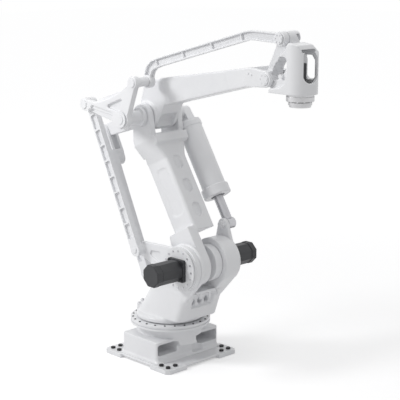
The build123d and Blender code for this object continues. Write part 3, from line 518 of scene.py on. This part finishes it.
def triangleExtras():
    place = sideFrame(*elbow)
    low, high = trianglePlate["discPlanes"]
    disc = roundOutline(0, 0, trianglePlate["discRadius"], trianglePlate["discSides"])
    walls = [
        (trianglePlate["webCorners"], *trianglePlate["web"], place),
        (disc, low + trianglePlate["discSink"], high, place),
    ]
    circle, count = trianglePlate["boltCircle"], trianglePlate["bolts"]
    for i in range(count):
        angle = 2 * math.pi * (i + 0.5) / count
        bolt = roundOutline(circle * math.cos(angle), circle * math.sin(angle), trianglePlate["boltRadius"],
                            trianglePlate["boltSides"])
        walls.append((bolt, low, low + trianglePlate["boltLength"], place))
    return walls


# wrist: thinner web round the window, opening in the far wall, sloping top corner
wristCut = {
    "origin": (1.170, 2.430),
    "nearWeb": ((-0.010, -0.040), (0.060, -0.062), (0.150, -0.050), (0.190, -0.020), (0.212, 0.060),
                (0.214, 0.170), (0.206, 0.256), (0.110, 0.200), (0.010, 0.080)),
    "nearPlanes": (-0.150, -0.094),
    "farWeb": ((-0.010, -0.040), (0.060, -0.062), (0.150, -0.040), (0.160, 0.060), (0.165, 0.170),
               (0.172, 0.240), (0.100, 0.200), (0.000, 0.080)),
    "farPlanes": (0.058, 0.150),
    "door": ((0.196, 0.030), (0.216, 0.010), (0.300, 0.010), (0.318, 0.030), (0.318, 0.150), (0.290, 0.185),
             (0.216, 0.185), (0.196, 0.165)),
    "doorPlanes": (0.040, 0.150),
    "corner": ((0.010, 0.330), (0.150, 0.330), (0.150, 0.120)),
    "cornerPlanes": (0.060, 0.420),
}


def wristFrame(u, v, w):
    return (wristCut["origin"][0] + u, w, wristCut["origin"][1] + v)


def cornerFrame(u, v, w):  # outline across the wrist, pushed along X
    return (wristCut["origin"][0] + w, u, wristCut["origin"][1] + v)


def wristCutters():
    return [
        (wristCut["nearWeb"], *wristCut["nearPlanes"], wristFrame),
        (wristCut["farWeb"], *wristCut["farPlanes"], wristFrame),
        (wristCut["door"], *wristCut["doorPlanes"], wristFrame),
        (wristCut["corner"], *wristCut["cornerPlanes"], cornerFrame),
    ]


# recess in the turret's sloping front with three holes, as (y, z) seen from the front
turretFront = {
    "recess": ((-0.128, 0.500), (0.108, 0.500), (0.112, 0.594), (-0.132, 0.594)),
    "recessSpan": (0.368, 0.520),  # in x, and past the face
    "holes": ((-0.085, 0.542), (-0.008, 0.542), (0.066, 0.542)),
    "holeRadius": 0.024,
    "holeSides": 20,
    "holeSpan": (0.300, 0.520),
}


def frontFrame(u, v, w):
    return (w, u, v)


def turretCutters():
    walls = [(turretFront["recess"], *turretFront["recessSpan"], frontFrame)]
    for y, z in turretFront["holes"]:
        hole = roundOutline(y, z, turretFront["holeRadius"], turretFront["holeSides"])
        walls.append((hole, *turretFront["holeSpan"], frontFrame))
    return walls


# hollow under the upper arm in front of its elbow hub, between the two side walls
elbowArch = {
    "outline": ((0.048, -0.200), (0.048, -0.060), (0.075, -0.030), (0.120, -0.018), (0.300, -0.030),
                (0.400, -0.070), (0.400, -0.200)),
    "half": 0.084,
}


def archCutters():
    half = elbowArch["half"]
    return [(elbowArch["outline"], -half, half, sideFrame(*elbow, armRise))]


# castings get rounded edges and fillets: voxel size in metres, smoothing passes, share of faces kept
castings = {
    "turret_casting": (0.0070, 14, 0.35),
    "lower_arm": (0.0060, 5, 0.35),
    "upper_arm": (0.0060, 5, 0.35),
    "wrist_casting": (0.0045, 4, 0.35),
    "pedestal": (0.0060, 4, 0.35),
    "base_plate": (0.0050, 3, 0.3),
    "ear_plate": (0.0045, 4, 0.35),
    "far_drum": (0.0045, 3, 0.4),
    "triangle_plate": (0.0035, 4, 0.35),
    "crank": (0.0050, 3, 0.3),
}
castCutters = {
    "wrist_casting": wristCutters(),
    "triangle_plate": triangleCutters(),
    "turret_casting": turretCutters(),
    "upper_arm": archCutters(),
}
castExtras = {"triangle_plate": triangleExtras()}


def cutWith(piece, outline, low, high, place, inner=None):  # an inner outline makes the cutter a sleeve
    mesh = bmesh.new()
    if inner:
        pushSleeve(mesh, outline, inner, low, high, place)
    else:
        pushOutline(mesh, outline, low, high, place)
    cutter = meshObject("cutter", mesh)
    knife = piece.modifiers.new("cut", "BOOLEAN")
    knife.operation = "DIFFERENCE"
    knife.solver = "EXACT"
    knife.object = cutter
    return cutter


def castCopy(name, voxel, passes, keep):
    source = nodes[name]
    piece = source.copy()
    piece.data = source.data.copy()
    piece.name = name + "_cast"
    bpy.context.scene.collection.objects.link(piece)
    cutters = [cutWith(piece, *wall) for wall in castCutters.get(name, [])]
    if cutters:
        piece = bakeModifiers(piece)
        for cutter in cutters:
            bpy.data.objects.remove(cutter)
    if name in castExtras:
        mesh = bmesh.new()
        mesh.from_mesh(piece.data)
        for wall in castExtras[name]:
            bmesh.ops.recalc_face_normals(mesh, faces=pushOutline(mesh, *wall))
        mesh.to_mesh(piece.data)
        mesh.free()
    standIn(softCast(piece, voxel, passes, keep), name)


# upper link: a curved tail, an H section with four thin ribs and a bent nose
upperLink = {
    "tail": (-0.008, 2.324),
    "length": 1.376,
    "planes": (-0.213, -0.095),
    "half": 0.026,  # half width across, in y
    "flange": 0.011,
    "web": 0.005,  # half thickness
    "ribs": (0.140, 0.430, 0.730, 1.030),
    "ribThick": 0.006,
    "ribReach": 0.034,
    "ribHalf": 0.021,
    "middle": (0.160, 0.117, 0.022),  # line of the ribs' middles: start, height and fall
    "eye": 0.052,
    "eyeSides": 40,
    "edge": 0.0025,
    # along the link, height over the line of the eyes, and half depth
    "spine": ((0.000, 0.000, 0.034), (0.022, 0.050, 0.034), (0.052, 0.090, 0.036), (0.095, 0.112, 0.037),
              (0.160, 0.117, 0.036), (0.500, 0.110, 0.036), (0.850, 0.102, 0.036), (1.070, 0.097, 0.036),
              (1.115, 0.092, 0.036), (1.160, 0.078, 0.036), (1.290, 0.032, 0.037), (1.376, 0.000, 0.038)),
}


def linkFrame(u, v, w):  # the link runs from the plane of its rear eye to that of its front eye
    rear, front = upperLink["planes"]
    share = min(1.0, max(0.0, u / upperLink["length"]))
    return sideFrame(*upperLink["tail"], armRise)(u, v, rear + (front - rear) * share + w)


def spineEdge(side, inset=0.0):  # points of the spine moved to one side by its half depth, less the inset
    spine = upperLink["spine"]
    points = []
    for i, (u, v, half) in enumerate(spine):
        before, after = spine[max(0, i - 1)], spine[min(len(spine) - 1, i + 1)]
        along = Vector((after[0] - before[0], after[1] - before[1])).normalized()
        reach = side * (half - inset)
        points.append((u - along.y * reach, v + along.x * reach))
    return points


def makeUpperLink():
    mesh = bmesh.new()
    half, web, rib = upperLink["half"], upperLink["web"], upperLink["ribHalf"]
    for side in (1, -1):
        flange = spineEdge(side) + spineEdge(side, upperLink["flange"])[::-1]
        pushOutline(mesh, flange, -half, half, linkFrame)
    pushOutline(mesh, spineEdge(1) + spineEdge(-1)[::-1], -web, web, linkFrame)
    start, height, fall = upperLink["middle"]
    for u in upperLink["ribs"]:
        v = height - (u - start) * fall
        left, right = u - upperLink["ribThick"], u + upperLink["ribThick"]
        low, high = v - upperLink["ribReach"], v + upperLink["ribReach"]
        pushOutline(mesh, [(left, low), (right, low), (right, high), (left, high)], -rib, rib, linkFrame)
    eye = roundOutline(0, 0, upperLink["eye"], upperLink["eyeSides"])
    for u, plane in zip((0.0, upperLink["length"]), upperLink["planes"]):
        x, _, z = linkFrame(u, 0.0, 0.0)
        pushOutline(mesh, eye, plane - half, plane + half, sideFrame(x, z))
    standIn(bakeModifiers(softEdges(meshObject("upperLink", mesh), upperLink["edge"])), "upper_link")


# servo motors: a flange with cut corners, then octagons, and nubs on the end cover;
# an octagon is given by its width over the flats, its start and its end
motorShell = {
    "axis": (0.413, 0.868),
    "flange": 0.180,
    "corner": 0.010,
    "flangeThick": 0.030,
    "body": (0.168, 0.030, 0.233),
    "seam": (0.165, 0.232, 0.239),
    "cover": (0.174, 0.238, 0.289),
    "cap": (0.162, 0.288, 0.292),
    "nubRadius": 0.007,
    "nubSides": 10,
    "nubSpot": (0.0828, 0.020),
    "nubSpan": (0.250, 0.280),
    "edge": 0.003,
    "places": {"near_motor": (-0.294, -1), "far_motor": (0.231, 1)},  # flange's seat in y, direction
}


def makeMotor(name, start, toward):
    mesh = bmesh.new()
    place = sideFrame(*motorShell["axis"])
    half = motorShell["flange"] / 2
    near = half - motorShell["corner"]
    square = [(half, near), (near, half), (-near, half), (-half, near),
              (-half, -near), (-near, -half), (near, -half), (half, -near)]
    layers = [(square, 0.0, motorShell["flangeThick"])]
    for layer in ("body", "seam", "cover", "cap"):
        flats, low, high = motorShell[layer]
        layers.append((octagonOutline(flats), low, high))
    reach, rise = motorShell["nubSpot"]
    for side in (-1, 1):
        for along in (-rise, rise):
            for spot in ((side * reach, along), (along, side * reach)):
                nub = roundOutline(*spot, motorShell["nubRadius"], motorShell["nubSides"])
                layers.append((nub, *motorShell["nubSpan"]))
    for points, low, high in layers:
        pushOutline(mesh, points, start + toward * low, start + toward * high, place)
    standIn(bakeModifiers(softEdges(meshObject(name + "_shell", mesh), motorShell["edge"])), name)


for name, (start, toward) in motorShell["places"].items():
    makeMotor(name, start, toward)
for name, (voxel, passes, keep) in castings.items():
    castCopy(name, voxel, passes, keep)
makeUpperLink()

# floor, world and lamps
studio = {
    "floorSize": 40.0,
    "floorColour": (0.80, 0.80, 0.805),
    "floorRoughness": 0.9,
    "floorGlow": (0.37, 0.56),  # strength near and far
    "floorGlowReach": (2.0, 7.0),  # distances for the two, in metres
    "worldFill": 0.54,
    "keyPower": 162.0,
    "keyPlace": (-2.6, -4.4, 4.6),
    "keySize": 1.6,
    "topPower": 60.0,
    "topPlace": (0.9, -0.6, 6.4),
    "topSize": 3.5,
    "aim": (0.3, 0.0, 1.2),
}


def backgroundRays(tree):  # 1 for the rays that show the background: camera, glossy and transmission
    path = tree.nodes.new("ShaderNodeLightPath")
    total = path.outputs["Is Camera Ray"]
    for label in ("Is Glossy Ray", "Is Transmission Ray"):
        larger = addNode(tree, "ShaderNodeMath", operation="MAXIMUM")
        tree.links.new(total, larger.inputs[0])
        tree.links.new(path.outputs[label], larger.inputs[1])
        total = larger.outputs["Value"]
    return total


def makeFloor():
    size = studio["floorSize"]
    mesh = bpy.data.meshes.new("floor")
    corners = [(-size, -size, 0), (size, -size, 0), (size, size, 0), (-size, size, 0)]
    mesh.from_pydata(corners, [], [(0, 1, 2, 3)])
    floor = bpy.data.objects.new("floor", mesh)
    bpy.context.scene.collection.objects.link(floor)
    material, tree, shader = newMaterial("floorWhite")
    shader.inputs["Base Color"].default_value = solidColour(studio["floorColour"])
    shader.inputs["Roughness"].default_value = studio["floorRoughness"]
    shader.inputs["Specular IOR Level"].default_value = 0.0
    shader.inputs["Emission Color"].default_value = white
    glow = addNode(tree, "ShaderNodeMath", operation="MULTIPLY")
    place = addNode(tree, "ShaderNodeTexCoord")
    reach = addNode(tree, "ShaderNodeVectorMath", operation="LENGTH")
    # the far floor gets less lamp light and glows more
    spread = rangeNode(tree, *studio["floorGlowReach"], *studio["floorGlow"])
    tree.links.new(place.outputs["Object"], reach.inputs[0])
    tree.links.new(reach.outputs["Value"], spread.inputs["Value"])
    tree.links.new(spread.outputs["Result"], glow.inputs[1])
    tree.links.new(backgroundRays(tree), glow.inputs[0])
    tree.links.new(glow.outputs["Value"], shader.inputs["Emission Strength"])
    dress(floor, material)


def makeWorld():
    world = bpy.data.worlds.new("studio")
    bpy.context.scene.world = world
    world.use_nodes = True
    tree = world.node_tree
    tree.nodes.clear()
    seen = addNode(tree, "ShaderNodeBackground", Strength=1.0, Color=white)
    fill = addNode(tree, "ShaderNodeBackground", Strength=studio["worldFill"], Color=white)
    mix = tree.nodes.new("ShaderNodeMixShader")
    out = tree.nodes.new("ShaderNodeOutputWorld")
    tree.links.new(backgroundRays(tree), mix.inputs["Fac"])
    tree.links.new(fill.outputs["Background"], mix.inputs[1])
    tree.links.new(seen.outputs["Background"], mix.inputs[2])
    tree.links.new(mix.outputs["Shader"], out.inputs["Surface"])


def makeLamp(name, place, power, size):
    data = bpy.data.lights.new(name, "AREA")
    data.energy = power
    data.size = size
    lamp = bpy.data.objects.new(name, data)
    aim = Vector(studio["aim"]) - Vector(place)
    lamp.location = place
    lamp.rotation_euler = aim.to_track_quat("-Z", "Y").to_euler()
    bpy.context.scene.collection.objects.link(lamp)


makeFloor()
makeWorld()
makeLamp("keyLamp", studio["keyPlace"], studio["keyPower"], studio["keySize"])
makeLamp("topLamp", studio["topPlace"], studio["topPower"], studio["topSize"])
bpy.context.scene.view_settings.view_transform = "Standard"
print("studio set")
